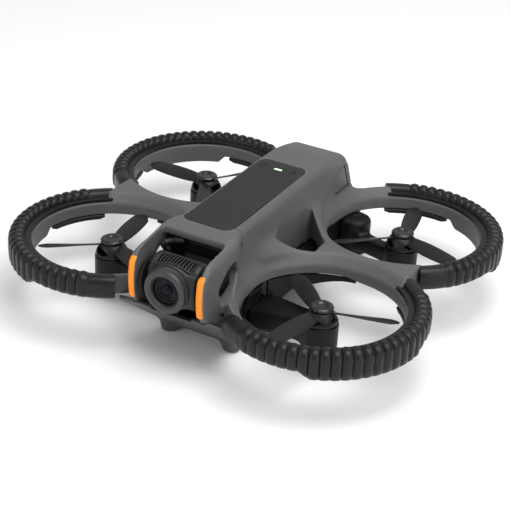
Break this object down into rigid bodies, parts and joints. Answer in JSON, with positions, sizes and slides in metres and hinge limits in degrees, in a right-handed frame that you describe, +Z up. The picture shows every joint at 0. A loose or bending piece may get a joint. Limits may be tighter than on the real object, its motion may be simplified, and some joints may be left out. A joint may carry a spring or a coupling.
{
  "type": "fpv racing drone",
  "caption": "Small ducted racing drone with ribbed bumper rings, spinning propellers, a tilting nose camera and a slide-out battery.",
  "frame": {"origin": "on the ground, midway between the propeller axes and under the middle of the outline", "axes": "+X to the drone's own left, +Y towards its tail, +Z up; the camera looks along -Y"},
  "size_m": [0.2286, 0.2006, 0.066],
  "materials": {
    "shell_grey": "fine-textured mid grey moulding",
    "black_plastic": "satin black moulding",
    "bumper_rubber": "satin black ribbed rubber",
    "panel_grey": "flat dark grey cover",
    "marker_orange": "glossy orange trim",
    "propeller_black": "smooth dark propeller plastic",
    "hub_gloss_black": "glossy black cap",
    "motor_metal": "dark anodised metal",
    "copper_windings": "enamelled copper windings",
    "camera_grey": "matte dark camera body",
    "lens_ring_grey": "dark grey machined ring",
    "lens_glass": "coated black glass",
    "cable_black": "ribbed black sleeve",
    "circuit_board": "green circuit board",
    "connector_black": "black connector",
    "cell_foil": "foil pouch",
    "status_light": "lit green diffuser"
  },
  "bodies": {
    "airframe": {"fuselage_shell": "shell_grey", "nose_cage": "shell_grey", "chin_plate": "shell_grey", "lower_hull": "black_plastic", "left_side_vent": "black_plastic", "right_side_vent": "black_plastic", "gimbal_bracket": "black_plastic", "left_marker_strip": "marker_orange", "right_marker_strip": "marker_orange", "top_panel": "panel_grey", "status_light": "status_light", "tilt_motor": "motor_metal", "camera_cable": "cable_black", "main_board": "circuit_board", "speed_controller_board": "circuit_board", "power_connector": "connector_black", "front_left_guard": "shell_grey", "front_left_bumper": "bumper_rubber", "front_left_inboard_strip": "black_plastic", "front_left_end_strip": "black_plastic", "front_left_arm": "black_plastic", "front_left_stator": "copper_windings", "front_right_guard": "shell_grey", "front_right_bumper": "bumper_rubber", "front_right_inboard_strip": "black_plastic", "front_right_end_strip": "black_plastic", "front_right_arm": "black_plastic", "front_right_stator": "copper_windings", "rear_left_guard": "shell_grey", "rear_left_bumper": "bumper_rubber", "rear_left_inboard_strip": "black_plastic", "rear_left_end_strip": "black_plastic", "rear_left_arm": "black_plastic", "rear_left_stator": "copper_windings", "rear_right_guard": "shell_grey", "rear_right_bumper": "bumper_rubber", "rear_right_inboard_strip": "black_plastic", "rear_right_end_strip": "black_plastic", "rear_right_arm": "black_plastic", "rear_right_stator": "copper_windings"},
    "front_left_rotor": {"front_left_motor_bell": "motor_metal", "front_left_propeller": "propeller_black", "front_left_hub_cap": "hub_gloss_black"},
    "front_right_rotor": {"front_right_motor_bell": "motor_metal", "front_right_propeller": "propeller_black", "front_right_hub_cap": "hub_gloss_black"},
    "rear_left_rotor": {"rear_left_motor_bell": "motor_metal", "rear_left_propeller": "propeller_black", "rear_left_hub_cap": "hub_gloss_black"},
    "rear_right_rotor": {"rear_right_motor_bell": "motor_metal", "rear_right_propeller": "propeller_black", "rear_right_hub_cap": "hub_gloss_black"},
    "camera": {"camera_housing": "camera_grey", "lens_ring": "lens_ring_grey", "lens_glass": "lens_glass"},
    "battery": {"battery_case": "shell_grey", "battery_cells": "cell_foil"},
    "left_latch": {"left_latch_button": "shell_grey"},
    "right_latch": {"right_latch_button": "shell_grey"},
    "power_switch": {"power_button": "black_plastic"}
  },
  "joints": [
    {"name": "front_left_propeller_spin", "type": "hinge", "parent": "airframe", "child": "front_left_rotor", "pos_m": [0.061, -0.047, 0.0306], "axis": [0, 0, 1], "continuous": true},
    {"name": "front_right_propeller_spin", "type": "hinge", "parent": "airframe", "child": "front_right_rotor", "pos_m": [-0.061, -0.047, 0.0306], "axis": [0, 0, 1], "continuous": true},
    {"name": "rear_left_propeller_spin", "type": "hinge", "parent": "airframe", "child": "rear_left_rotor", "pos_m": [0.061, 0.047, 0.0306], "axis": [0, 0, 1], "continuous": true},
    {"name": "rear_right_propeller_spin", "type": "hinge", "parent": "airframe", "child": "rear_right_rotor", "pos_m": [-0.061, 0.047, 0.0306], "axis": [0, 0, 1], "continuous": true},
    {"name": "camera_tilt", "type": "hinge", "parent": "airframe", "child": "camera", "pos_m": [0, -0.081, 0.0435], "axis": [1, 0, 0], "range_deg": [-80, 85]},
    {"name": "battery_slide", "type": "slide", "parent": "airframe", "child": "battery", "axis": [0, 1, 0], "range_m": [0, 0.088]},
    {"name": "left_latch_press", "type": "slide", "parent": "battery", "child": "left_latch", "axis": [-1, 0, 0], "range_m": [0, 0.0012], "stiffness_N_per_m": 400},
    {"name": "right_latch_press", "type": "slide", "parent": "battery", "child": "right_latch", "axis": [1, 0, 0], "range_m": [0, 0.0012], "stiffness_N_per_m": 400},
    {"name": "power_press", "type": "slide", "parent": "battery", "child": "power_switch", "axis": [0, -0.9119, -0.4104], "range_m": [0, 0.0006], "stiffness_N_per_m": 500}
  ]
}
